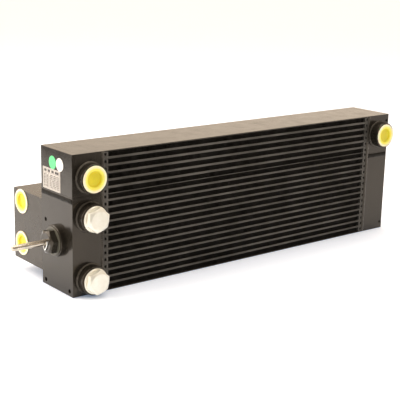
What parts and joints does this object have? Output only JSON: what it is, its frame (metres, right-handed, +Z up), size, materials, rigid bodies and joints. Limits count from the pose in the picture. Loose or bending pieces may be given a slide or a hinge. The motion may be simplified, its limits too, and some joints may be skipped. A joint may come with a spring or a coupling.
{
  "type": "hydraulic oil cooler",
  "caption": "Black bar-and-plate oil cooler: long brazed core between two header tanks, capped and plugged front ports, rear port block and end bypass valve.",
  "frame": {"origin": "centre of the bottom face of the core, halfway along both tanks and halfway through the core's depth", "axes": "+X along the core, from the tank with the bypass valve to the other; -Y out of the front ports; +Z up, across the core's channels"},
  "size_m": [0.8114, 0.2171, 0.232],
  "materials": {
    "black_paint": "semi-gloss black paint over machined aluminium, with faint orange peel",
    "core_paint": "thin black paint over brazed bars and fins, worn grey on the edges",
    "painted_weld": "black paint over rippled weld beads",
    "yellow_plastic": "soft glossy yellow polyethylene",
    "plated_plug": "bright pale zinc plate, turned and slightly rubbed",
    "seal_rubber": "black nitrile rubber",
    "stem_steel": "ground steel rod, slightly oiled",
    "spring_steel": "bright spring wire",
    "clip_steel": "bright plated wire",
    "washer_steel": "painted over steel sealing washer",
    "valve_metal": "dark grey brown paint over a turned hexagon",
    "bare_aluminium": "clean brazing sheet",
    "label_film": "silver grey polyester film with fine grey rules",
    "green_paint": "pale green paint dot",
    "white_film": "white paper dot"
  },
  "bodies": {
    "frame": {"core_top_plate": "black_paint", "core_bottom_plate": "black_paint", "parting_sheets": "bare_aluminium", "separator_plate": "core_paint", "oil_bars_front": "core_paint", "oil_bars_rear": "core_paint", "air_bars_left": "core_paint", "air_bars_right": "core_paint", "air_fins": "core_paint", "oil_turbulators": "bare_aluminium", "left_upper_tank": "black_paint", "left_lower_tank": "black_paint", "right_upper_tank": "black_paint", "right_lower_tank": "black_paint", "left_top_cap": "black_paint", "left_bottom_cap": "black_paint", "right_top_cap": "black_paint", "right_bottom_cap": "black_paint", "left_divider": "black_paint", "right_divider": "black_paint", "valve_bridge": "bare_aluminium", "pass_baffle": "bare_aluminium", "upper_left_boss": "black_paint", "upper_right_boss": "black_paint", "middle_left_boss": "black_paint", "lower_left_boss": "black_paint", "port_block": "black_paint", "valve_boss": "black_paint", "valve_washer": "washer_steel", "valve_body": "valve_metal", "valve_spring": "spring_steel", "stem_seal": "seal_rubber", "stem_clip": "clip_steel", "gallery_plug": "black_paint", "left_seam_weld": "painted_weld", "right_seam_weld": "painted_weld", "core_welds": "painted_weld", "boss_welds": "painted_weld", "block_welds": "painted_weld", "rating_label": "label_film", "green_dot": "green_paint", "white_dot": "white_film"},
    "upper_left_cap": {"upper_left_port_cap": "yellow_plastic"},
    "upper_right_cap": {"upper_right_port_cap": "yellow_plastic"},
    "block_upper_cap": {"block_upper_port_cap": "yellow_plastic"},
    "block_lower_cap": {"block_lower_port_cap": "yellow_plastic"},
    "middle_seal": {"middle_plug_seal": "seal_rubber"},
    "middle_plug": {"middle_hex_plug": "plated_plug"},
    "lower_seal": {"lower_plug_seal": "seal_rubber"},
    "lower_plug": {"lower_hex_plug": "plated_plug"},
    "bypass_stem": {"valve_stem": "stem_steel", "valve_poppet": "stem_steel"}
  },
  "joints": [
    {"name": "upper_left_cap_pull", "type": "slide", "parent": "frame", "child": "upper_left_cap", "axis": [0, -1, 0], "range_m": [0, 0.06]},
    {"name": "upper_right_cap_pull", "type": "slide", "parent": "frame", "child": "upper_right_cap", "axis": [0, -1, 0], "range_m": [0, 0.06]},
    {"name": "block_upper_cap_pull", "type": "slide", "parent": "frame", "child": "block_upper_cap", "axis": [-1, 0, 0], "range_m": [0, 0.06]},
    {"name": "block_lower_cap_pull", "type": "slide", "parent": "frame", "child": "block_lower_cap", "axis": [-1, 0, 0], "range_m": [0, 0.06]},
    {"name": "middle_plug_lift", "type": "slide", "parent": "frame", "child": "middle_seal", "axis": [0, -1, 0], "range_m": [0, 0.01271]},
    {"name": "middle_plug_turn", "type": "hinge", "parent": "middle_seal", "child": "middle_plug", "pos_m": [-0.332, -0.04725, 0.1288], "axis": [0, -1, 0], "range_deg": [0, 2160]},
    {"name": "lower_plug_lift", "type": "slide", "parent": "frame", "child": "lower_seal", "axis": [0, -1, 0], "range_m": [0, 0.01271]},
    {"name": "lower_plug_turn", "type": "hinge", "parent": "lower_seal", "child": "lower_plug", "pos_m": [-0.332, -0.04725, 0.0266], "axis": [0, -1, 0], "range_deg": [0, 2160]},
    {"name": "bypass_lift", "type": "slide", "parent": "frame", "child": "bypass_stem", "axis": [-1, 0, 0], "range_m": [0, 0.008], "stiffness_N_per_m": 6000, "springref_m": -0.0077, "deforming": ["valve_spring"]}
  ],
  "couplings": [
    {"joint": "middle_plug_lift", "follows": "middle_plug_turn", "m_per_rad": 0.00033688},
    {"joint": "lower_plug_lift", "follows": "lower_plug_turn", "m_per_rad": 0.00033688}
  ]
}
